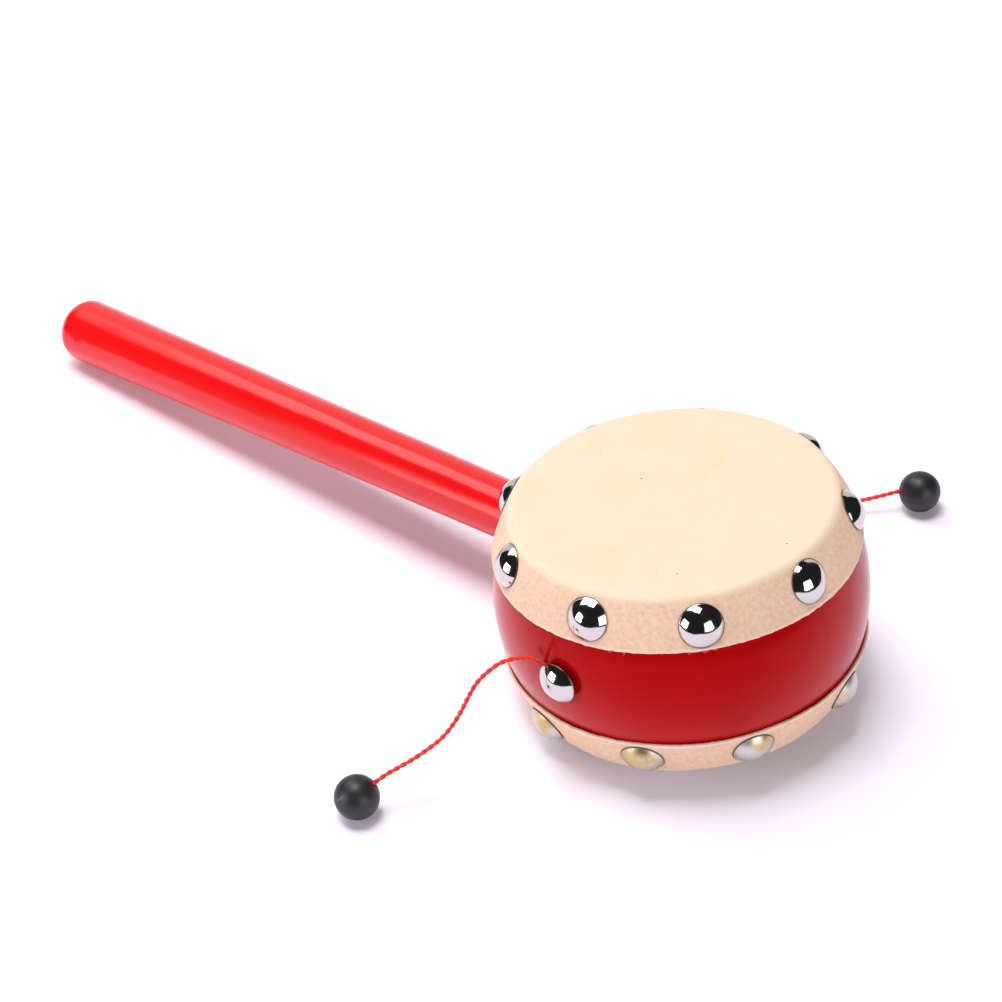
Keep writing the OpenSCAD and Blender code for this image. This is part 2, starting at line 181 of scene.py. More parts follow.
class RattleColours(bpy.types.PropertyGroup):
    """Colours of the finishes"""

    band: colour("Band", "Lacquer on the drum's band", "#B20A0C")
    band_gloss: colour("Band's gloss", "Tint of the light that the lacquer throws straight back", "#FF3A34")
    ridge: colour("Paint ridge", "Thick paint along the upper skin", "#EE2C28")
    handle: colour("Handle", "Enamel on the handle", "#E40F12")
    hide: colour("Hide", "Scraped hide of the skins", "#E9D2BA")
    hide_yellow: colour("Hide's stains", "Yellow stains in the hide", "#E8CA9C")
    hide_pink: colour("Hide's skirt", "Hide where it is folded down", "#EDCCB0")
    hide_rose: colour("Hide's mottle", "Darker pores of the folded hide", "#DEA78A")
    hide_edge: colour("Hide's edge", "Raw cut edge of the hide", "#F6DCC8")
    speck: colour("Specks", "Hair roots left in the hide", "#4A3226")
    nickel: colour("Nickel", "Plated face of the tacks", "#D0CCCA")
    nickel_yellow: colour("Worn nickel", "Plating rubbed thin on the lower tacks", "#C9B27F")
    tarnish: colour("Tarnish", "Rim of the tacks", "#4E3B28")
    string: colour("String", "Dyed string", "#FB3A2C")
    string_dark: colour("String's depths", "Dye between the fibres of the string", "#D01C14")
    bead: colour("Bead", "Matte paint on the beads", "#1A191D")
    scuff: colour("Scuff", "Scratch in a bead's paint", "#6A686C")
    floor: colour("Floor", "Paper under the toy", "#F6F0FF")


class Rattle:
    """The property groups that the scene holds, by their short names."""

    def __getattr__(self, name):
        return getattr(bpy.context.scene, f"rattle_{name}")


rattle = Rattle()


# Routes of the strings as in the solid model: distance from the exit towards the bead, distance to the left
# of that bearing, and height above the table
LEFT_ROUTE = [
    (0.0028, 0, 0.0387), (0.0083, 0, 0.0399), (0.0108, 0, 0.0396), (0.0133, 0, 0.0383), (0.0173, 0, 0.0349),
    (0.0197, 0, 0.031), (0.0219, 0, 0.0267), (0.0245, 0, 0.0226), (0.0275, 0, 0.0192), (0.0316, 0, 0.0164),
    (0.0356, 0, 0.0143), (0.0395, 0, 0.0127), (0.0426, 0, 0.0115), (0.0457, 0, 0.0098),
]
RIGHT_ROUTE = [
    (0.003, 0.0004, 0.0378), (0.0055, 0.001, 0.0371), (0.008, 0.002, 0.0342), (0.0108, 0.0031, 0.0306),
    (0.0147, 0.0048, 0.0254), (0.0191, 0.0068, 0.0197), (0.0235, 0.0088, 0.0144), (0.0272, 0.0105, 0.0105),
    (0.0307, 0.0119, 0.0074), (0.034, 0.0126, 0.0054), (0.0372, 0.0115, 0.0047), (0.0401, 0.0091, 0.0052),
    (0.0428, 0.0067, 0.0059), (0.0456, 0.0043, 0.0066),
]
# Angle that a string wraps round its tack's shank, and the step between its points there
WRAP = math.radians(240)
WRAP_STEP = math.radians(30)
# Where the middle of a soft corner is cut, as a share of the corner
SOFT_SHARE = 0.3
# Distance from a knot's middle to its flat side, as a share of its radius
KNOT_FLAT_SHARE = 0.66
# Radius of a knot's strand, mean radius and swing of its line, and the line's rise, as shares of its radius
KNOT_SHARES = (0.29, 0.46, 0.25, 0.42)
# Points along a knot's line and round its strand
KNOT_STEPS, KNOT_COLS = 160, 12


def unit(v):
    """Vectors over their own lengths."""
    v = np.asarray(v, float)
    return v / np.linalg.norm(v, axis=-1, keepdims=True)


def across(turn):
    """Level direction to the left of a compass angle."""
    return np.array([-math.sin(turn), math.cos(turn), 0])


def hole_frame(axis):
    """Rows that carry points onto a bead's hole: a level way, the one square to both, and the hole's."""
    level = unit(np.cross([0, 0, 1], axis))
    return np.stack([level, np.cross(axis, level), axis])


def circle(count):
    """Angles of so many even steps round a circle."""
    return np.linspace(0, 2 * math.pi, count, endpoint=False)


def round_axis(radius, a, z):
    """Points about the z axis at these radii, angles and heights."""
    return np.stack([radius * np.cos(a), radius * np.sin(a), z + 0 * a], -1)


def smooth_step(t):
    """Rises from 0 to 1 with no corner: 3 t squared less 2 t cubed."""
    t = np.clip(t, 0, 1)
    return t * t * (3 - 2 * t)


def ripple(points, size, seed, waves=24):
    """Smooth uneven field at the points: a mean of sine waves about one size long, in random directions."""
    rng = np.random.default_rng(seed)
    aims = unit(rng.normal(size=(waves, 3))) * (2 * math.pi / size) * rng.uniform(0.6, 1.5, (waves, 1))
    phases = rng.uniform(0, 2 * math.pi, waves)
    return np.sin(np.asarray(points) @ aims.T + phases).sum(-1) / math.sqrt(waves * 2)


def arc_r(g):
    """Radius of the bulge's arc, on the barrel grown by g."""
    return rattle.drum.bulge_r + g


def bulge_x():
    """Distance of the bulge's centre from the drum's axis: the drum's radius less the bulge's."""
    return rattle.drum.drum_d / 2 - rattle.drum.bulge_r


def skin_outside():
    """Growth of the shell's outline to a skin's outer face."""
    return rattle.drum.skin_fit + rattle.drum.skin_t


def face_z():
    """Height of a skin's outer face above the drum's middle."""
    return rattle.drum.shell_h / 2 + skin_outside()


def barrel_x(g, z):
    """Radius of the barrel grown by g at height z: the bulge's centre plus the half chord of its arc."""
    return bulge_x() + np.sqrt(arc_r(g) ** 2 - np.square(z))


def barrel_lat(g, z):
    """Slope of the barrel's surface at height z, as an angle above level."""
    return np.arcsin(z / arc_r(g))


def fold(g):
    """The fold grown by g: its radius, its centre's distance from the axis and height, and the angle above
    level at which the barrel's arc takes over."""
    drum = rattle.drum
    radius = drum.rim_round + g
    height = drum.shell_h / 2 + g - radius
    centre_x = bulge_x() + math.sqrt((arc_r(g) - radius) ** 2 - height**2)
    return radius, centre_x, height, math.atan2(height, centre_x - bulge_x())


def on_arc(g, lat):
    """The barrel grown by g at an angle above level: its radius, its height, and its outward way."""
    return bulge_x() + arc_r(g) * np.cos(lat), arc_r(g) * np.sin(lat), np.cos(lat), np.sin(lat)


def at_rest(points):
    """Points about the drum's middle, raised by its half height and leaned by the rest tilt."""
    x, y, z = np.moveaxis(np.asarray(points, float), -1, 0)
    z = z + face_z()
    cos, sin = math.cos(REST_TILT), math.sin(REST_TILT)
    return np.stack([x * cos - z * sin, y, x * sin + z * cos], -1)


def from_band(points, g, z, a):
    """Points on a tack's own axes, put on the barrel: their z points outwards and their -x up the band."""
    px, py, pz = np.moveaxis(np.asarray(points, float), -1, 0)
    lat = barrel_lat(g, z)
    out = barrel_x(g, z) + px * np.sin(lat) + pz * np.cos(lat)
    up = z - px * np.cos(lat) + pz * np.sin(lat)
    return round_axis(out, a, up) + py[..., None] * across(a)


def dome():
    """Radius of a tack's domed outside, and the inner radius of its rim."""
    tacks = rattle.tacks
    outside = ((tacks.tack_d / 2) ** 2 + tacks.tack_h**2) / (2 * tacks.tack_h)
    inside = outside - tacks.tack_wall
    return outside, math.sqrt(inside**2 - (outside - tacks.tack_h) ** 2)


def dome_sink(g, z):
    """How far a dome sits down on the band: the least drop of the barrel over the dome's inner rim."""
    rim = dome()[1]
    round_r = barrel_x(g, z) / math.cos(barrel_lat(g, z))
    return min(r - math.sqrt(r * r - rim * rim) for r in (arc_r(g), round_r)) - TACK_FIT


def surface(name, grid, poles=None, spread=(1, 1)):
    """A closed skin over a grid of points, rows by columns, whose columns close on themselves.
    The rows end in two poles, or without them close on themselves. Point (i, j) makes a face with
    (i, j + 1), (i + 1, j + 1) and (i + 1, j). The UV map runs from 0 to spread round the columns and along
    the rows. All faces are turned over if the volume inside comes out negative."""
    rows, cols, _ = grid.shape
    open_ended = poles is not None
    i, j = np.meshgrid(np.arange(rows - open_ended), np.arange(cols), indexing="ij")
    below, beside = (i + 1) % rows, (j + 1) % cols
    quads = np.stack([i * cols + j, i * cols + beside, below * cols + beside, below * cols + j], -1)
    quads = quads.reshape(-1, 4)
    steps = np.array(spread) / [cols, rows]
    uv = np.stack([np.stack([j + dj, i + di], -1) for di, dj in ((0, 0), (0, 1), (1, 1), (1, 0))], -2)
    uv = uv.reshape(-1, 4, 2) * steps
    points = grid.reshape(-1, 3)
    fans = np.empty((0, 3), int)
    fan_uv = np.empty((0, 3, 2))
    if open_ended:
        k = np.arange(cols)
        beside, last = (k + 1) % cols, (rows - 1) * cols
        pole = np.full(cols, rows * cols)
        fans = np.vstack([np.stack([beside, k, pole], -1), np.stack([last + k, last + beside, pole + 1], -1)])
        here, there = np.stack([k, 0 * k], -1), np.stack([k + 1, 0 * k], -1)
        lower = np.array([0, rows - 1])
        first = np.stack([there, here, here], 1)
        final = np.stack([here + lower, there + lower, here + lower], 1)
        fan_uv = np.concatenate([first, final]) * steps
        points = np.vstack([points, poles[0], poles[1]])
    triangles = np.vstack([quads[:, :3], quads[:, [0, 2, 3]], fans])
    a, b, c = (points[triangles[:, n]] for n in range(3))
    if np.einsum("ij,ij->i", a, np.cross(b, c)).sum() < 0:
        quads, uv, fans, fan_uv = quads[:, ::-1], uv[:, ::-1], fans[:, ::-1], fan_uv[:, ::-1]
    mesh = bpy.data.meshes.new(name)
    mesh.from_pydata(points.tolist(), [], quads.tolist() + fans.tolist())
    mesh.polygons.foreach_set("use_smooth", np.ones(len(mesh.polygons), bool))
    layer = mesh.uv_layers.new(name="UVMap")
    layer.data.foreach_set("uv", np.concatenate([uv.ravel(), fan_uv.ravel()]).astype(np.float32))
    obj = bpy.data.objects.new(name, mesh)
    bpy.context.scene.collection.objects.link(obj)
    return obj


def turned(profile, cols):
    """A profile of radii and heights carried round the z axis, as rows by columns of points."""
    radius, height = np.asarray(profile, float).T[..., None]
    return round_axis(radius, circle(cols), height)


def straight(start, end, count):
    """Points along a straight stretch of a profile, without its last."""
    return np.linspace(start, end, count, endpoint=False)


def curved(centre, radius, start, end, count):
    """Points along a round stretch of a profile, without its last: its centre plus the turning radius."""
    a = np.linspace(start, end, count, endpoint=False)
    return np.stack([centre[0] + radius * np.cos(a), centre[1] + radius * np.sin(a)], -1)


def finish_piece(obj, body, slot_name, material, *nodes):
    """Gives a new piece its material, body and slot, and the nodes that it stands for."""
    obj.data.materials.append(material)
    if body:
        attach(obj, body)
    if nodes:
        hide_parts(*nodes)
    return obj


# Sockets of the Mix node that take colours
MIX_A, MIX_B = 6, 7


def add_node(tree, kind, inputs=(), **settings):
    """Adds a shader node with its settings and inputs, which are given by name or in the node's own order.
    An input is a value, or is linked from a socket or from a node's first output in use."""
    node = tree.nodes.new(f"ShaderNode{kind}")
    for key, value in settings.items():
        setattr(node, key, value)
    for key, value in inputs.items() if isinstance(inputs, dict) else enumerate(inputs):
        if isinstance(value, bpy.types.Node):
            value = next(socket for socket in value.outputs if socket.enabled)
        if isinstance(value, bpy.types.NodeSocket):
            tree.links.new(value, node.inputs[key])
        else:
            node.inputs[key].default_value = value
    return node


def finish(name, look, *choices):
    """A material whose Principled shader has the inputs that a look gives. The look is handed what adds
    nodes, the Object coordinates, the colours and its own choices."""
    material = bpy.data.materials.new(name)
    material.use_nodes = True
    material.node_tree.nodes.clear()
    add = partial(add_node, material.node_tree)
    shader = add("BsdfPrincipled", look(add, add("TexCoord").outputs["Object"], rattle.colours, *choices))
    add("OutputMaterial", {"Surface": shader})
    return material


def pattern(place, size_mm, detail, **others):
    """Inputs of a noise on coordinates in metres, whose features are this many millimetres across."""
    return {"Vector": place, "Scale": 1 / (size_mm * MM), "Detail": detail, **others}


def on_drum(add, place):
    """Object coordinates turned and lowered back to the drum's own axes about its middle."""
    leaned = add("Mapping", {"Vector": place, "Rotation": (0, REST_TILT, 0)}, vector_type="POINT")
    return add("VectorMath", (leaned, (0, 0, face_z())), operation="SUBTRACT")


def near_spot(add, place, spot, inner, outer):
    """1 within the inner distance of a spot, falling to 0 at the outer one, all in metres."""
    away = add("VectorMath", (place, spot), operation="DISTANCE")
    return add("MapRange", (away, inner, outer, 1, 0), interpolation_type="SMOOTHSTEP")


# Marks on the band: a smear of darker paint and a faint round spot. Each has its place about the drum's
# middle, how far out it is full, and where it ends.
SMEAR = (-0.0052, -0.0492, 0.0075), 0.2 * MM, 2.2 * MM
SPOT = (0.0413, -0.0267, -0.0089), 1.8 * MM, 2.9 * MM
# Angle of the hairline where the band's wood is joined
SEAM_ANGLE = math.radians(-89.1)
# Hair roots in the upper skin's face, about the drum's middle, and how far out each is full and ends
SPECKS = [(0.0372, 0.0001, 0.0283), (0.0222, -0.0252, 0.0283), (-0.0125, 0.0023, 0.0283)]
SPECK_REACH = 0.12 * MM, 0.34 * MM
# The scratch in the left bead's paint, from the bead's middle: a point on it, and the ball that it lies on
SCRATCH_AT = (-0.00076, -0.00526, 0.00279)
SCRATCH_ROUND = (-0.0034, -0.0038, 0.0042)
SCRATCH_R = 0.0034
# Slant of the yarns on a string's own map: once round a 1.6 mm string in 4.8 mm
YARN_SLANT = math.atan2(math.pi * 0.0016, 0.0048)


def band_lacquer(add, place, colours):
    """Nitrocellulose lacquer sprayed on turned, sanded wood.
    It gives the band a deep even red with a soft gloss that shows only at a glancing angle, a faint
    orange peel, a hairline where the wood is joined, and marks where the spray lay thicker."""
    drum_place = on_drum(add, place)
    cloud = add("TexNoise", pattern(place, 11, 3))
    dark = add("HueSaturation", {"Value": 0.78, "Color": colours.band})
    shade = add("MapRange", (cloud, 0.45, 0.8, 0, 0.35))
    flow = add("Mix", {0: shade, MIX_A: colours.band, MIX_B: dark}, data_type="RGBA")
    smear, spot = (near_spot(add, drum_place, *mark) for mark in (SMEAR, SPOT))
    marks = add("Math", (spot, 0.35, smear), operation="MULTIPLY_ADD")
    # The join lies in the upright plane through the axis at its angle, on the side that faces left.
    off_plane = add("VectorMath", (drum_place, across(SEAM_ANGLE)), operation="DOT_PRODUCT")
    off = add("Math", (off_plane,), operation="ABSOLUTE")
    hairline = add("MapRange", (off, 0.03 * MM, 0.11 * MM, 1, 0))
    aside = add("SeparateXYZ", (drum_place,)).outputs["Y"]
    side = add("Math", (aside, 0), operation="LESS_THAN")
    seam = add("Math", (hairline, side), operation="MULTIPLY")
    faint = add("Math", (marks, 0.25), operation="MULTIPLY")
    darker = add("Math", (faint, seam), operation="MAXIMUM")
    deep = add("HueSaturation", {"Value": 0.35, "Color": colours.band})
    painted = add("Mix", {0: darker, MIX_A: flow, MIX_B: deep}, data_type="RGBA")
    peel = add("TexNoise", pattern(place, 1.1, 2))
    sunk = add("Math", (peel, seam), operation="SUBTRACT")
    bump = add("Bump", {"Height": sunk, "Strength": 0.25, "Distance": 0.03 * MM})
    # Where the spray lay thicker it dried dull and throws back hardly any light.
    gloss = add("MapRange", (marks, 0, 1, 0.46, 0.04))
    return {
        "Base Color": painted, "Normal": bump, "Roughness": 0.15, "IOR": 1.45,
        "Specular IOR Level": gloss, "Specular Tint": colours.band_gloss,
    }


def handle_enamel(add, place, colours):
    """Alkyd enamel, dipped on a turned stick.
    The thick coat is bright and glossy, with a clear streak of light along the top, slow waves, and a
    slightly deeper red where it is thick."""
    along = add("Mapping", {"Vector": place, "Scale": (60 * MM, 5 * MM, 5 * MM)}, vector_type="TEXTURE")
    streak = add("TexNoise", {"Vector": along, "Scale": 1, "Detail": 3})
    thick = add("HueSaturation", {"Value": 0.86, "Color": colours.handle})
    tint = add("Mix", {0: streak, MIX_A: colours.handle, MIX_B: thick}, data_type="RGBA")
    wave = add("TexNoise", pattern(place, 2.4, 2))
    bump = add("Bump", {"Height": wave, "Strength": 0.3, "Distance": 0.05 * MM})
    return {"Base Color": tint, "Normal": bump, "Roughness": 0.2, "IOR": 1.45}


def ridge_paint(add, place, colours):
    """Lacquer that crept out from under the skin and dried thick.
    It stands up as a lumpy, glossy and brighter line."""
    lumps = add("TexNoise", pattern(place, 0.9, 2))
    tint = add("Mix", {0: lumps, MIX_A: colours.band, MIX_B: colours.ridge}, data_type="RGBA")
    bump = add("Bump", {"Height": lumps, "Strength": 0.6, "Distance": 0.1 * MM})
    return {"Base Color": tint, "Normal": bump, "Roughness": 0.16}


def scraped_hide(add, place, colours):
    """Rawhide, scraped thin, shrunk on wet and left undyed.
    It is dry and matte, cream with cloudy yellow stains on the face, pinker and finely grained on the
    folded skirt, pale along the raw cut edge, and flecked with fine fibres and a few hair roots. A real
    hide's pores and fibres are finer, and are drawn as coarse as they need to show."""
    drum_place = on_drum(add, place)
    cloud = add("TexNoise", pattern(place, 13, 5, Roughness=0.62))
    stain = add("MapRange", (cloud, 0.46, 0.78, 0, 0.6), interpolation_type="SMOOTHSTEP")
    face = add("Mix", {0: stain, MIX_A: colours.hide, MIX_B: colours.hide_yellow}, data_type="RGBA")
    height = add("SeparateXYZ", (drum_place,)).outputs["Z"]
    level = add("Math", (height,), operation="ABSOLUTE")
    fold_from, fold_to = face_z() - 2.2 * MM, face_z() - 0.7 * MM
    folded = add("MapRange", (level, fold_from, fold_to, 1, 0), interpolation_type="SMOOTHSTEP")
    pores = add("TexNoise", pattern(place, 1.3, 5, Roughness=0.7))
    mottle = add("MapRange", (pores, 0.4, 0.72, 0, 0.75))
    skirt = add("Mix", {0: mottle, MIX_A: colours.hide_pink, MIX_B: colours.hide_rose}, data_type="RGBA")
    skirted = add("Mix", {0: folded, MIX_A: face, MIX_B: skirt}, data_type="RGBA")
    edge_z = face_z() - rattle.drum.skirt_h
    raw = add("MapRange", (level, edge_z + 0.15 * MM, edge_z + 0.8 * MM, 1, 0))
    edged = add("Mix", {0: raw, MIX_A: skirted, MIX_B: colours.hide_edge}, data_type="RGBA")
    grain = add("TexNoise", pattern(place, 0.55, 6, Roughness=0.65))
    speckled = add("MapRange", (grain, 0.3, 0.7, 0.955, 1.03))
    flecked = add("HueSaturation", {"Color": edged, "Value": speckled})
    for spot in SPECKS:
        root = near_spot(add, drum_place, spot, *SPECK_REACH)
        flecked = add("Mix", {0: root, MIX_A: flecked, MIX_B: colours.speck}, data_type="RGBA")
    fibre = add("TexNoise", pattern(place, 0.35, 4, Distortion=1.5))
    relief = add("Math", (fibre, grain), operation="ADD")
    bump = add("Bump", {"Height": relief, "Strength": 0.35, "Distance": 0.06 * MM})
    return {"Base Color": flecked, "Normal": bump, "Roughness": 0.62, "Specular IOR Level": 0.25}


def plated_nickel(add, place, colours, dome_share, plate, shine):
    """Steel sheet pressed to a dome and nickel plated.
    Bright ones mirror the room with the small wobble of shallow dents; worn ones are rubbed dull and
    yellow. Both are brown and dull along the rim, where the plating is thin. dome_share is how far along
    its profile the dome's outside reaches, plate the colour of its cloudy film, and shine its roughness."""
    along = add("SeparateXYZ", (add("UVMap"),)).outputs["Y"]
    rim_from, rim_to = dome_share * 0.93, dome_share * 1.01
    rim = add("MapRange", (along, rim_from, rim_to), interpolation_type="SMOOTHSTEP")
    cloud = add("TexNoise", pattern(place, 6, 2))
    rubbed = add("MapRange", (cloud, 0.42, 0.66), interpolation_type="SMOOTHSTEP")
    plating = add("Mix", {0: rubbed, MIX_A: colours.nickel, MIX_B: plate}, data_type="RGBA")
    tint = add("Mix", {0: rim, MIX_A: plating, MIX_B: colours.tarnish}, data_type="RGBA")
    film = add("TexNoise", pattern(place, 2.5, 4))
    dull = add("MapRange", (film, 0.35, 0.75, shine, shine + 0.1))
    rough = add("Math", (rim, 0.3, dull), operation="MULTIPLY_ADD")
    return {"Base Color": tint, "Roughness": rough, "Metallic": 1}


def twisted_string(add, _, colours):
    """Dyed cotton string, two plies twisted hard.
    It is matte with a faint bloom of loose fibres, and its yarns show as fine slanting lines, which are
    drawn as coarse as they need to show."""
    # Yarns run along the string, which on the twisted skin's own map is at a slant.
    mapped = {"Vector": add("UVMap"), "Rotation": (0, 0, YARN_SLANT), "Scale": (0.12 * MM, 1.6 * MM, 1)}
    yarn = add("Mapping", mapped, vector_type="TEXTURE")
    fibre = add("TexNoise", {"Vector": yarn, "Scale": 1, "Detail": 3}, noise_dimensions="2D")
    worn = add("MapRange", (fibre, 0.3, 0.65))
    tint = add("Mix", {0: worn, MIX_A: colours.string_dark, MIX_B: colours.string}, data_type="RGBA")
    bump = add("Bump", {"Height": fibre, "Strength": 0.7, "Distance": 0.08 * MM})
    dry = {"Roughness": 0.75, "Specular IOR Level": 0.2, "Sheen Weight": 0.25}
    return {"Base Color": tint, "Normal": bump, **dry}


def bead_paint(add, place, colours):
    """Turned wooden bead, tumbled in matte black paint.
    It has a broad soft highlight, a fine dusty grain, and a scratch where the paint was rubbed."""
    grit = add("TexNoise", pattern(place, 0.4, 4))
    rough = add("MapRange", (grit, 0.3, 0.7, 0.4, 0.52))
    # The scratch is a short arc: it lies on a ball round one point, near another.
    centre = Vector(JOINTS["left_bead_spin"]["pos_m"])
    ball = add("VectorMath", (place, centre + Vector(SCRATCH_ROUND)), operation="DISTANCE")
    off_ball = add("Math", (ball, SCRATCH_R), operation="SUBTRACT")
    off = add("Math", (off_ball,), operation="ABSOLUTE")
    thin = add("MapRange", (off, 0.02 * MM, 0.14 * MM, 1, 0))
    short = near_spot(add, place, centre + Vector(SCRATCH_AT), 0.8 * MM, 1.7 * MM)
    scratch = add("Math", (thin, short), operation="MULTIPLY")
    tint = add("Mix", {0: scratch, MIX_A: colours.bead, MIX_B: colours.scuff}, data_type="RGBA")
    bump = add("Bump", {"Height": grit, "Strength": 0.25, "Distance": 0.04 * MM})
    return {"Base Color": tint, "Roughness": rough, "Normal": bump}


def paper(add, _, colours):
    """Matte white paper, brightened only where the eye or a mirror sees it, so that it keeps its shadows."""
    rays = add("LightPath").outputs
    seen = rays["Is Camera Ray"]
    for other in ("Is Glossy Ray", "Is Transmission Ray"):
        seen = add("Math", (seen, rays[other]), operation="MAXIMUM")
    lift = add("Math", (seen, PAPER_LIFT), operation="MULTIPLY")
    matte = {"Base Color": colours.floor, "Roughness": 1, "Specular IOR Level": 0}
    return {"Emission Strength": lift, "Emission Color": (1, 1, 1, 1), **matte}


# Camera: where it stands, its angles, and its focal length in pixels of a frame so many pixels wide
CAMERA_AT = (0.361226, -0.442154, 0.506636)
CAMERA_AZIMUTH = math.radians(44.101)
CAMERA_ELEVATION = math.radians(38.0526)
CAMERA_ROLL = math.radians(-3.2775)
FOCAL_PIXELS = 2800
FRAME_PIXELS = 1002
# How much of white the paper adds to what it reflects, its middle and its half width
PAPER_LIFT = 0.05
PAPER_AT = (-0.2, 0.2)
PAPER_HALF = 0.5
# Lamps: name, place, aim, width, height and power in watts
LAMPS = [
    ("softbox_above", (-0.3016, -0.053, 2.179), (0, 0, 0), 0.9, 0.9, 34.5),
    ("softbox_behind", (-1.36, 0.0, 1.73), (0, 0, 0), 1.1, 1.1, 14.0),
    ("backdrop", (-0.835, 0.862, 0.6), (0, 0, 0.6), 2.0, 1.2, 6.0),
    ("panel_left", (-0.563, -1.06, 0.32), (0, 0, 0.32), 0.62, 0.64, 6.6),
    ("panel_right", (1.174, -0.25, 0.42), (0, 0, 0.42), 0.8, 0.84, 6.8),
]
# Brightness of the room around them: as plain fill, and as a mirror sees it
ROOM_FILL = 0.12
ROOM_DARK = 0.02


class RATTLE_OT_stage(bpy.types.Operator):
    """Camera, paper floor, lamps and surroundings"""

    bl_idname = "rattle.stage"
    bl_label = "Stage"

    def execute(self, context):
        scene = context.scene
        scene.view_settings.view_transform = "Standard"
        camera = bpy.data.objects.new("camera", bpy.data.cameras.new("camera"))
        scene.collection.objects.link(camera)
        scene.camera = camera
        camera.data.lens = camera.data.sensor_width * FOCAL_PIXELS / FRAME_PIXELS
        camera.data.clip_start = 0.01
        camera.matrix_world = (
            Matrix.Translation(CAMERA_AT)
            @ Matrix.Rotation(CAMERA_AZIMUTH, 4, "Z")
            @ Matrix.Rotation(math.pi / 2 - CAMERA_ELEVATION, 4, "X")
            @ Matrix.Rotation(CAMERA_ROLL, 4, "Z")
        )
        corners = np.array([(-1, -1, 0), (1, -1, 0), (1, 1, 0), (-1, 1, 0)]) * PAPER_HALF
        sheet = bpy.data.meshes.new("paper")
        sheet.from_pydata((corners + [*PAPER_AT, TABLE_Z]).tolist(), [], [(0, 1, 2, 3)])
        floor = bpy.data.objects.new("paper", sheet)
        scene.collection.objects.link(floor)
        sheet.materials.append(finish("white_paper_sweep", paper))
        for name, place, aim, width, depth, power in LAMPS:
            lamp = bpy.data.lights.new(name, "AREA")
            lamp.shape, lamp.size, lamp.size_y, lamp.energy = "RECTANGLE", width, depth, power
            obj = bpy.data.objects.new(name, lamp)
            obj.location = place
            obj.rotation_euler = (Vector(aim) - Vector(place)).to_track_quat("-Z", "Y").to_euler()
            scene.collection.objects.link(obj)
        scene.world = bpy.data.worlds.new("room")
        scene.world.use_nodes = True
        tree = scene.world.node_tree
        tree.nodes.clear()
        add = partial(add_node, tree)
        rays = add("LightPath").outputs
        mirrored = add("Mix", {0: rays["Is Glossy Ray"], 2: ROOM_FILL, 3: ROOM_DARK}, data_type="FLOAT")
        strength = add("Mix", {0: rays["Is Camera Ray"], 2: mirrored, 3: 1.0}, data_type="FLOAT")
        background = add("Background", {"Strength": strength, "Color": (1, 1, 1, 1)})
        add("OutputWorld", {"Surface": background})
        return {"FINISHED"}


def smooth_line(points, step):
    """A smooth curve through the points, in even steps: cubic pieces whose slopes at each point are the
    mean of the two chords that meet there, weighed by length. Gives the points and their distances."""
    points = np.asarray(points, float)
    chord = np.linalg.norm(np.diff(points, axis=0), axis=1)
    knots = np.concatenate([[0], np.cumsum(chord)])
    aim = np.diff(points, axis=0) / chord[:, None]
    slope = np.vstack([aim[:1], aim[1:], aim[-1:]])
    weight = (chord[1:] / (chord[1:] + chord[:-1]))[:, None]
    slope[1:-1] = aim[:-1] * weight + aim[1:] * (1 - weight)
    t = np.linspace(0, knots[-1], int(knots[-1] / step) * 4)
    i = np.clip(np.searchsorted(knots, t, "right") - 1, 0, len(chord) - 1)
    span, s = chord[i][:, None], ((t - knots[i]) / chord[i])[:, None]
    fine = (
        (2 * s**3 - 3 * s**2 + 1) * points[i]
        + (s**3 - 2 * s**2 + s) * span * slope[i]
        + (3 * s**2 - 2 * s**3) * points[i + 1]
        + (s**3 - s**2) * span * slope[i + 1]
    )
    run = np.concatenate([[0], np.cumsum(np.linalg.norm(np.diff(fine, axis=0), axis=1))])
    even = np.linspace(0, run[-1], round(run[-1] / step) + 1)
    return np.stack([np.interp(even, run, fine[:, k]) for k in range(3)], 1), even


def carried(line, aside, radius, turn):
    """An outline carried along a line: each point is the line's plus its radius, at its angle between the
    sideways direction and the one square to it. radius and turn are rows by columns."""
    tangent = unit(np.gradient(line, axis=0))
    side = unit(aside - (aside * tangent).sum(-1, keepdims=True) * tangent)
    up = np.cross(tangent, side)
    return (
        line[:, None, :]
        + (radius * np.cos(turn))[..., None] * side[:, None, :]
        + (radius * np.sin(turn))[..., None] * up[:, None, :]
    )


# A string's skin: points round it, step along it, and how its radius is shared between a ply's middle
# and the ply itself
STRING_COLS = 24
STRING_STEP = 0.22 * MM
PLY_PLACE_SHARE = 0.4
PLY_SIZE_SHARE = 0.6


def twisted(name, line, run, aside, soft_start=False):
    """Two plies laid round each other, as one skin. Its outline is that of two overlapping circles,
    offset times |cos b| plus the root of ply squared less (offset sin b) squared, turned once a lay."""
    cords = rattle.cords
    radius = cords.cord_d / 2
    offset, ply = radius * PLY_PLACE_SHARE, radius * PLY_SIZE_SHARE
    b = circle(STRING_COLS)
    outline = offset * np.abs(np.cos(b)) + np.sqrt(ply**2 - (offset * np.sin(b)) ** 2)
    taper = np.ones_like(run)
    if soft_start:
        taper = np.sqrt(1 - np.clip(1 - (run - run[0] + STRING_STEP / 2) / radius, 0, 1) ** 2)
    turn = b + 2 * math.pi * run[:, None] / cords.lay
    grid = carried(line, aside, outline * taper[:, None], turn)
    return surface(name, grid, (line[0], line[-1]), (math.pi * cords.cord_d, run[-1] - run[0]))


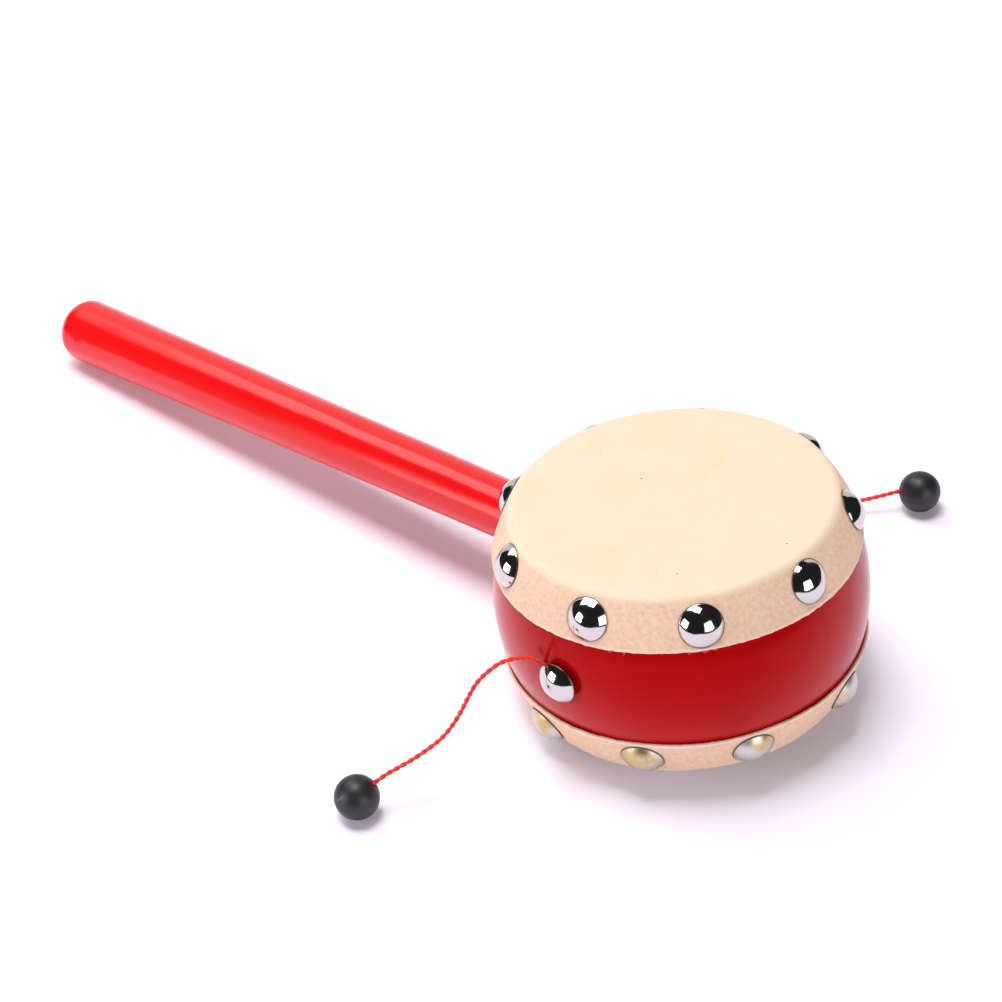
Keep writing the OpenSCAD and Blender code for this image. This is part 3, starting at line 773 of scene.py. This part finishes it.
def string_path(side, route, turn, bead_at, axis):
    """Points of a string from its tie to its knot, the index of its exit, and the way out of its tack."""
    tacks, cords, beads = rattle.tacks, rattle.cords, rattle.beads
    tack_angle = side * (math.pi / 2 - tacks.cord_turn)
    radius = cords.cord_d / 2
    loop_r = tacks.shank_d / 2 + radius + CORD_FIT
    exit_r = tacks.tack_d / 2 + cords.exit_gap
    lead_x, lead_y = -exit_r * math.sin(cords.exit_rise), -exit_r * math.cos(cords.exit_rise)
    lead = (lead_x, lead_y, radius - dome_sink(0, tacks.cord_z) + CORD_FIT)
    a = np.arange(-WRAP, WRAP_STEP / 2, WRAP_STEP) + math.atan2(lead_y, lead_x) - math.pi / 2
    wrap = round_axis(loop_r, a, radius + CORD_FIT)
    tied = at_rest(from_band(np.vstack([wrap, lead]), 0, tacks.cord_z, tack_angle))
    out = at_rest(from_band([(0, 0, 0), (0, 0, 1)], 0, tacks.cord_z, tack_angle))
    ahead, beside, height = np.array(route).T[..., None]
    start = np.array([*tied[-1, :2], TABLE_Z])
    heading = np.array([math.cos(turn), math.sin(turn), 0])
    free = start + ahead * heading + beside * across(turn) + height * [0, 0, 1]
    bead_r, knot_r = beads.bead_d / 2, beads.knot_d / 2
    knot_at = bead_r - beads.knot_sunk - knot_r - knot_r * KNOT_FLAT_SHARE
    through = np.array([bead_at, bead_at + knot_at * axis])
    return np.vstack([tied, free, through]), len(tied) - 1, out[1] - out[0]


def make_knot(name, material, flat_at, axis):
    """An overhand knot in a bead's mouth: string carried along the line whose distance from the axis is
    R + r cos 3t at the angle 2t, and whose height is h sin 3t."""
    knot_r = rattle.beads.knot_d / 2
    strand, mean, swing, rise = (knot_r * share for share in KNOT_SHARES)
    t = circle(KNOT_STEPS)
    line = round_axis(mean + swing * np.cos(3 * t), 2 * t, rise * np.sin(3 * t))
    ahead = unit(np.roll(line, -1, 0) - np.roll(line, 1, 0))
    side = unit(np.cross(ahead, line + [0, 0, knot_r * 2]))
    up = np.cross(ahead, side)
    b = circle(KNOT_COLS)[:, None]
    round_line = np.cos(b) * side[:, None, :] + np.sin(b) * up[:, None, :]
    middle = flat_at + axis * knot_r * KNOT_FLAT_SHARE
    grid = middle + (line[:, None, :] + strand * round_line) @ hole_frame(axis)
    knot = surface(f"{name}_overhand_knot", grid, None, (2 * math.pi * mean * 2, math.pi * strand * 2))
    return finish_piece(knot, f"{name}_cord_far", "red_string", material, f"{name}_knot")


def make_string(name, side, route, turn, material):
    """One string: it leans its outline from the tack's way out to level as it leaves the tack."""
    cords = rattle.cords
    swing, bend, bead = (JOINTS[f"{name}_{joint}"] for joint in ("cord_swing", "cord_bend", "bead_spin"))
    axis = unit(bead["axis"])
    points, exit_index, out = string_path(side, route, turn, np.array(bead["pos_m"]), axis)
    line, run = smooth_line(points, STRING_STEP)
    places = (points[exit_index], swing["pos_m"], bend["pos_m"])
    at_exit, at_swing, at_bend = (np.argmin(np.linalg.norm(line - p, axis=1)) for p in places)
    lean = smooth_step((run - run[at_exit]) / (run[at_swing] - run[at_exit]))[:, None]
    aside = unit(out) * (1 - lean) + across(turn) * lean
    # The upper piece bends level with the swing joint, and ends past where that bend ends.
    reach = cords.bend * np.array([math.cos(turn), math.sin(turn), 0])
    beyond = (line - line[at_swing]) @ unit(reach) - cords.bend - cords.cord_d / 2
    split = at_swing + np.argmax(beyond[at_swing:] > 0)
    near, far = slice(split + 1), slice(split, None)
    upper = twisted(f"{name}_string_upper", line[near], run[near], aside[near], soft_start=True)
    finish_piece(upper, None, "red_string", material, f"{name}_cord_loop", f"{name}_cord_inner")
    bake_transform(upper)
    lower = twisted(f"{name}_string_lower", line[far], run[far], aside[far])
    finish_piece(lower, None, "red_string", material, f"{name}_cord_inner", f"{name}_cord_outer")
    knot = make_knot(name, material, line[-1], axis)
    steps = int(cords.bend / STRING_STEP)
    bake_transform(lower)
    cords.cord_d


class RATTLE_OT_cords(bpy.types.Operator):
    """Both twisted strings, each in an upper and a lower piece that meet inside its stiff near stretch"""

    bl_idname = "rattle.cords"
    bl_label = "Cords"

    def execute(self, context):
        cords = rattle.cords
        material = finish("twisted_cotton_string", twisted_string)
        make_string("left", -1, LEFT_ROUTE, cords.left_turn, material)
        make_string("right", 1, RIGHT_ROUTE, cords.right_turn, material)
        return {"FINISHED"}


def bead_profile():
    """A ball's arc from the hole's mouth to the knot's, then the knot's seat and the hole."""
    beads = rattle.beads
    bead_r, knot_r, bore_r = beads.bead_d / 2, beads.knot_d / 2, beads.bore_d / 2
    seat_r, soft = knot_r + beads.knot_fit, beads.mouth_round
    seat_z = bead_r - beads.knot_sunk - knot_r - knot_r * KNOT_FLAT_SHARE - beads.knot_fit
    start = -math.acos((bore_r + soft) / bead_r)
    end = math.acos((seat_r + soft) / bead_r)
    hole_z, mouth_z = bead_r * math.sin(start), bead_r * math.sin(end)
    cut = soft * SOFT_SHARE
    return np.vstack([
        curved((0, 0), bead_r, start, end, 72),
        [(seat_r + soft, mouth_z), (seat_r + cut, mouth_z - cut)],
        straight((seat_r, mouth_z - soft), (seat_r, seat_z), 6),
        straight((seat_r, seat_z), (bore_r, seat_z), 3),
        straight((bore_r, seat_z), (bore_r, hole_z + soft), 12),
        [(bore_r, hole_z + soft), (bore_r + cut, hole_z + cut)],
    ])


class RATTLE_OT_beads(bpy.types.Operator):
    """Both drilled beads, each with a wider mouth for its knot"""

    bl_idname = "rattle.beads"
    bl_label = "Beads"

    def execute(self, context):
        material = finish("tumbled_black_bead", bead_paint)
        for name in ("left", "right"):
            joint = JOINTS[f"{name}_bead_spin"]
            grid = turned(bead_profile(), 112)
            grid = np.array(joint["pos_m"]) + grid @ hole_frame(unit(joint["axis"]))
            bead = surface(f"{name}_drilled_bead", grid)
            finish_piece(bead, f"{name}_bead", "black_bead", material, f"{name}_bead")
        return {"FINISHED"}


# Lengths of the ripples in a cut edge: the slow ones, the fine ragged ones and the middling ones
EDGE_RIPPLES = (28 * MM, 1.6 * MM, 4.5 * MM)
# Height and length of the slow swells and of the fine grain in a skin's surface
HIDE_RIPPLES = [(0.05 * MM, 11 * MM), (0.012 * MM, 2.4 * MM)]


def edge_height(a, seed):
    """Height of a skin's cut edge over the drum's middle at angles a: level, with slow and ragged ripples."""
    drum = rattle.drum
    around = round_axis(drum.drum_d / 2, a, 0)
    slow, fine, middling = (ripple(around, size, seed + i) for i, size in enumerate(EDGE_RIPPLES))
    return face_z() - drum.skirt_h + drum.edge_wander * slow + drum.edge_rag * (fine + middling)


# Rows of a skin: its face, fold, skirt, cut edge, and the inside of its skirt, fold and face
SKIN_COLS = 720
FACE_ROWS, FOLD_ROWS, SKIRT_ROWS, EDGE_ROWS, INNER_ROWS = 30, 12, 24, 4, 8
# Radius of the hole that a pole closes, as a share of the face's
POLE_SHARE = 0.02
# How far the cut edge bulges, as a share of half the hide's thickness
EDGE_ROUND_SHARE = 0.5


def cup(turn, seed):
    """A skin drawn as the upper one: a flat face, an arc for the fold and the barrel's arc for the
    skirt, lifted off the band between tacks by a cosine, and a second such face a skin's thickness in."""
    drum, tacks = rattle.drum, rattle.tacks
    a = circle(SKIN_COLS)
    outside, inside = skin_outside(), drum.skin_fit
    radius, centre_x, centre_z, start = fold(outside)
    end = np.arcsin(edge_height(a, seed) / arc_r(outside))
    slack = drum.edge_lift * (1 - np.cos(tacks.ring_count * (a - turn))) / 2
    # Each row is a radius, a height, the two parts of the outward way, and the lift along it.
    face = np.linspace(centre_x * POLE_SHARE, centre_x, FACE_ROWS, endpoint=False)
    rows = [(r, face_z(), 0, 1, 0) for r in face]
    for b in np.linspace(math.pi / 2, start, FOLD_ROWS, endpoint=False):
        out, up = math.cos(b), math.sin(b)
        rows.append((centre_x + radius * out, centre_z + radius * up, out, up, 0))
    for s in np.linspace(0, 1, SKIRT_ROWS):
        rows.append((*on_arc(outside, start + (end - start) * s), slack * s**3))
    outer = len(rows)
    half = (outside - inside) / 2
    for b in np.linspace(0, math.pi, EDGE_ROWS + 2)[1:-1]:
        g = inside + half + half * math.cos(b)
        rows.append((*on_arc(g, end - half * EDGE_ROUND_SHARE * math.sin(b) / arc_r(g)), slack))
    radius, centre_x, centre_z, start = fold(inside)
    for s in np.linspace(1, 0, INNER_ROWS):
        rows.append((*on_arc(inside, start + (end - start) * s), slack * s**3))
    for b in np.linspace(start, math.pi / 2, INNER_ROWS)[1:]:
        rows.append((centre_x + radius * math.cos(b), centre_z + radius * math.sin(b), 0, 0, 0))
    inner_z = centre_z + radius
    for r in np.linspace(centre_x, centre_x * POLE_SHARE, INNER_ROWS)[1:]:
        rows.append((r, inner_z, 0, 0, 0))
    rows = np.array([np.broadcast_arrays(*row, a)[:-1] for row in rows])
    r, z, out, up, lift = np.moveaxis(rows, 1, 0)
    points = round_axis(r, a, z)[:outer]
    for i, (height, size) in enumerate(HIDE_RIPPLES, len(EDGE_RIPPLES)):
        lift[:outer] += height * ripple(points, size, seed + i)
    r, z = r + lift * out, z + lift * up
    return round_axis(r, a, z), np.array([(0, 0, z[0].mean()), (0, 0, inner_z)])


class RATTLE_OT_skins(bpy.types.Operator):
    """Both hide skins, each a shrunk cup with a soft fold and a ragged cut edge"""

    bl_idname = "rattle.skins"
    bl_label = "Skins"

    def execute(self, context):
        tacks, material = rattle.tacks, finish("scraped_rawhide", scraped_hide)
        for side, node, turn, seed in (
            (1, "top_head", tacks.top_turn, UPPER_SEED),
            (-1, "bottom_head", tacks.bottom_turn, LOWER_SEED),
        ):
            grid, poles = cup(turn, seed)
            grid[..., 2] *= side
            poles[:, 2] *= side
            skin = surface(f"{node}_hide", at_rest(grid), at_rest(poles))
            finish_piece(skin, "drum", "hide", material, node)
        return {"FINISHED"}


# Seeds of the two skins' ripples
UPPER_SEED = 11
LOWER_SEED = 47
# The paint ridge: angles about the drum between which it is thick, and how far it tails off
RIDGE_FROM = math.radians(-69.4)
RIDGE_TO = math.radians(-43.5)
RIDGE_TAIL = math.radians(14)
# Outline of the ridge: how far each point is below the skin's edge, as a share of the ridge's width, or of
# the skin's thickness where it is above, and how far it stands out, as a share of the skin's clearance
RIDGE_OUTLINE = [
    (-1.2, 0.5), (-0.6, 0.8), (0, 1.0), (0.35, 1.25), (0.7, 0.9), (0.95, 0.35), (1.0, -0.5), (0, -0.5),
]
# Lumps along the ridge where it is thick: their mean, share, length and seed, and the limits of their sum
RIDGE_MEAN_SHARE = 0.55
RIDGE_LUMPS = [(0.8, 3.2 * MM, 5), (0.5, 1.3 * MM, 6)]
RIDGE_LIMIT_SHARES = (0.04, 1.6)
# How much further out the ridge stands where it is thick, and its width where it is thin, as shares
RIDGE_PROUD_SHARE = 2.2
RIDGE_THIN_SHARE = 0.08


class RATTLE_OT_band(bpy.types.Operator):
    """Lacquer on the shell, and the ridge of thick paint along the upper skin's edge"""

    bl_idname = "rattle.band"
    bl_label = "Band"

    def execute(self, context):
        drum = rattle.drum
        shell = frame["nodes"]["drum_shell"]
        shell.data.materials.clear()
        shell.data.materials.append(finish("sprayed_lacquer_band", band_lacquer))
        a = circle(SKIN_COLS)
        edge = edge_height(a, UPPER_SEED)
        signed = (a + math.pi) % (2 * math.pi) - math.pi
        thick = smooth_step((signed - RIDGE_FROM) / RIDGE_TAIL + 1)
        thick = thick * smooth_step((RIDGE_TO - signed) / RIDGE_TAIL + 1)
        around = round_axis(drum.drum_d / 2, a, 0)
        lumps = RIDGE_MEAN_SHARE + sum(share * ripple(around, *kind) for share, *kind in RIDGE_LUMPS)
        lumps = thick * np.clip(lumps, *RIDGE_LIMIT_SHARES)
        width = drum.ridge_w * (RIDGE_THIN_SHARE + lumps)
        rows = []
        for below, out in RIDGE_OUTLINE:
            z = edge - width * max(below, 0) - drum.skin_t * min(below, 0)
            g = drum.skin_fit * out * (1 + RIDGE_PROUD_SHARE * lumps * (below > 0))
            rows.append(round_axis(barrel_x(g, z), a, z))
        ridge = surface("paint_ridge", at_rest(np.array(rows)))
        finish_piece(ridge, "drum", "band_lacquer", finish("dried_paint_ridge", ridge_paint))
        return {"FINISHED"}


# Each tack's own turn in degrees and drop in millimetres from its even place, as it was driven by hand
TOP_PLACES = [
    (0.5, 0), (2, 0), (0.5, 0), (2, 0), (3.2, -0.4), (3.4, 0.3), (-0.2, 0.6), (-1.3, -0.3), (-0.8, -0.6),
]
BOTTOM_PLACES = [(0, 0)] * 5 + [(2.9, -0.5), (1.2, 0.3), (-3.1, 0.3), (-2.4, 0)]
# Rows of a tack's dome, points round it, and the angles that its arc leaves for its pole and its rim
DOME_ROWS, TACK_COLS = 34, 72
TOP_GAP, RIM_GAP = 0.03, 0.02
# Ripples in a dome: share of the dents' depth, length, and step of the seed
DOME_RIPPLES = [(1, 5 * MM, 0), (0.35, 1.8 * MM, 50)]
# Dents in a dome: from how many to below how many, how far out, how deep as shares, and how wide
DENT_COUNTS, DENT_PLACE_SHARE, DENT_DEPTH_SHARES, DENT_WIDTHS_MM = (1, 4), 0.6, (1, 2.4), (0.5, 1)
DENT_SEED = 100


def tack_profile():
    """A dome's arc from near its top to its rim, the rim, the inner arc to the shank, and the shank."""
    tacks = rattle.tacks
    outside, rim = dome()
    inside, base = outside - tacks.tack_wall, tacks.tack_h - outside
    edge, shank = tacks.tack_d / 2, tacks.shank_d / 2
    soft = tacks.tack_wall * SOFT_SHARE
    point_z = tacks.shank_d - tacks.shank_l
    return np.vstack([
        curved((0, base), outside, math.pi / 2 - TOP_GAP, math.acos(edge / outside) + RIM_GAP, DOME_ROWS),
        [(edge, soft), (edge - soft * 0.4, soft * SOFT_SHARE), (edge - soft, 0), (rim + soft, 0)],
        curved((0, base), inside, math.acos(rim / inside) + RIM_GAP, math.acos(shank / inside), 8),
        straight((shank, 0), (shank, point_z), 4),
        [(shank, point_z), (shank * SOFT_SHARE, -tacks.shank_l * 0.95)],
    ])


def dented(grid, seed):
    """A dome whose outside is pushed in and out by ripples, and in at a few small dents."""
    tacks = rattle.tacks
    outer = grid[:DOME_ROWS]
    rng = np.random.default_rng(DENT_SEED + seed)
    push = tacks.dent * sum(share * ripple(outer, size, seed + step) for share, size, step in DOME_RIPPLES)
    for _ in range(rng.integers(*DENT_COUNTS)):
        spot = rng.uniform(-DENT_PLACE_SHARE, DENT_PLACE_SHARE, 2) * tacks.tack_d / 2
        away = np.linalg.norm(outer[..., :2] - spot, axis=-1)
        depth = tacks.dent * rng.uniform(*DENT_DEPTH_SHARES)
        push -= depth * np.exp(-((away / (rng.uniform(*DENT_WIDTHS_MM) * MM)) ** 2))
    outer[..., 2] += push
    return grid


class RATTLE_OT_tacks(bpy.types.Operator):
    """All domed tacks: a ring round each skin and one for each string"""

    bl_idname = "rattle.tacks"
    bl_label = "Tacks"

    def execute(self, context):
        tacks, colours = rattle.tacks, rattle.colours
        profile = tack_profile()
        share = DOME_ROWS / len(profile)
        bright = finish("bright_nickel_tack", plated_nickel, share, colours.nickel, 0.05)
        worn = finish("worn_nickel_tack", plated_nickel, share, colours.nickel_yellow, 0.34)
        g = skin_outside()
        places = []
        for word, side, turn, drop, own_places in (
            ("top", 1, tacks.top_turn, tacks.top_drop, TOP_PLACES),
            ("bottom", -1, tacks.bottom_turn, tacks.bottom_drop, BOTTOM_PLACES),
        ):
            for i in range(tacks.ring_count):
                own_turn, own_drop = own_places[i % len(own_places)]
                a = turn + 2 * math.pi / tacks.ring_count * (i + 1) + math.radians(own_turn)
                z = face_z() - drop - own_drop * MM
                places.append((f"{word}_tack_{i + 1}", g, side * z, a, -dome_sink(g, z)))
        for word, side in (("left", -1), ("right", 1)):
            a = side * (math.pi / 2 - tacks.cord_turn)
            places.append((f"{word}_cord_tack", 0, tacks.cord_z, a, rattle.cords.cord_d))
        for seed, (node, g, z, a, rise) in enumerate(places):
            grid = dented(turned(profile, TACK_COLS), seed)
            poles = np.array([(0, 0, grid[0, :, 2].mean()), (0, 0, -tacks.shank_l)])
            grid[..., 2] += rise
            poles[:, 2] += rise
            grid, poles = (at_rest(from_band(points, g, z, a)) for points in (grid, poles))
            material = worn if node.startswith("bottom") else bright
            finish_piece(surface(f"{node}_dome", grid, poles), "drum", "tack_nickel", material, node)
        return {"FINISHED"}


# Drips at the underside of the handle's end: distance from the end, angle round it, height and width
DRIPS = [
    (0.0045, math.radians(-62), 0.00022, 0.0011),
    (0.0105, math.radians(-78), 0.00028, 0.0014),
    (0.0175, math.radians(-70), 0.00012, 0.0009),
]
HANDLE_COLS = 128
# Radii of the holes that the poles of the spigot and of the free end close, as shares of theirs
SPIGOT_POLE_SHARE, END_POLE_SHARE = 0.05, 0.03
# Waves in the enamel: share of the sag, how far they are drawn out along the stick, length and seed. They
# grow from nothing at the seat to their full height this far on.
WAVES = [(1, 0.3, 9 * MM, 3), (0.5, 0.12, 3.5 * MM, 4)]
WAVE_CLEAR = 4 * MM


class RATTLE_OT_handle(bpy.types.Operator):
    """The turned handle under its thick enamel"""

    bl_idname = "rattle.handle"
    bl_label = "Handle"

    def execute(self, context):
        drum, handle = rattle.drum, rattle.handle
        neck, end = handle.neck_d / 2, handle.end_d / 2
        spigot, soft = handle.spigot_d / 2, handle.end_round
        seat = drum.drum_d / 2 - handle.seat_depth
        tip = drum.drum_d / 2 + handle.handle_l
        profile = np.vstack([
            straight((spigot * SPIGOT_POLE_SHARE, -handle.spigot_end), (spigot, -handle.spigot_end), 4),
            straight((spigot, -handle.spigot_end), (spigot, seat), 12),
            straight((spigot, seat), (neck, seat), 3),
            straight((neck, seat), (end, tip - soft), 160),
            curved((end - soft, tip - soft), soft, 0, math.pi / 2, 14),
            straight((end - soft, tip), (end * END_POLE_SHARE, tip), 12),
            [(end * END_POLE_SHARE, tip)],
        ])
        grid = turned(profile, HANDLE_COLS)
        height = grid[..., 2]
        out = unit(grid * [1, 1, 0])
        waves = sum(share * ripple(grid * [1, 1, drawn_out], *kind) for share, drawn_out, *kind in WAVES)
        push = handle.sag * smooth_step((height - seat) / WAVE_CLEAR) * waves
        for back, around, tall, wide in DRIPS:
            spot = np.array([end * math.cos(around), end * math.sin(around), tip - back])
            push += tall * np.exp(-((np.linalg.norm(grid - spot, axis=-1) / wide) ** 2))
        grid = grid + out * push[..., None]
        poles = np.array([(0, 0, -handle.spigot_end), (0, 0, tip)])
        # The handle runs along -x: its own height becomes -x and its own x becomes height.
        grid, poles = (at_rest(points[..., ::-1] * [-1, 1, 1]) for points in (grid, poles))
        stick = surface("enamelled_handle", grid, poles)
        material = finish("dipped_enamel_handle", handle_enamel)
        finish_piece(stick, "drum", "handle_lacquer", material, "handle")
        return {"FINISHED"}


OPERATORS = [
    RATTLE_OT_stage,
    RATTLE_OT_cords,
    RATTLE_OT_beads,
    RATTLE_OT_band,
    RATTLE_OT_skins,
    RATTLE_OT_tacks,
    RATTLE_OT_handle,
]
GROUPS = {
    "rattle_drum": RattleDrumSizes,
    "rattle_tacks": RattleTackSizes,
    "rattle_handle": RattleHandleSizes,
    "rattle_cords": RattleCordSizes,
    "rattle_beads": RattleBeadSizes,
    "rattle_colours": RattleColours,
}


class RATTLE_PT_panel(bpy.types.Panel):
    """Sizes, colours and making of the rattle"""

    bl_idname = "RATTLE_PT_panel"
    bl_label = "Pellet drum rattle"
    bl_space_type = "VIEW_3D"
    bl_region_type = "UI"
    bl_category = "Rattle"

    def draw(self, context):
        for group_name, group in GROUPS.items():
            box = self.layout.box()
            box.label(text=group.__doc__)
            for prop in group.__annotations__:
                box.prop(getattr(context.scene, group_name), prop)
        for operator in OPERATORS:
            self.layout.operator(operator.bl_idname)


def register():
    """Registers the classes and hangs the property groups on the scene."""
    for cls in (*GROUPS.values(), *OPERATORS, RATTLE_PT_panel):
        bpy.utils.register_class(cls)
    for name, group in GROUPS.items():
        setattr(bpy.types.Scene, name, bpy.props.PointerProperty(type=group))


def unregister():
    """Takes the property groups and classes away again."""
    for name in GROUPS:
        delattr(bpy.types.Scene, name)
    for cls in (RATTLE_PT_panel, *reversed(OPERATORS), *GROUPS.values()):
        bpy.utils.unregister_class(cls)


def main():
    """Makes every piece in order, then writes the solid and the dressed model's boxes."""
    register()
    for operator in OPERATORS:
        group, name = operator.bl_idname.split(".")
        getattr(getattr(bpy.ops, group), name)()


if __name__ == "__main__":
    main()
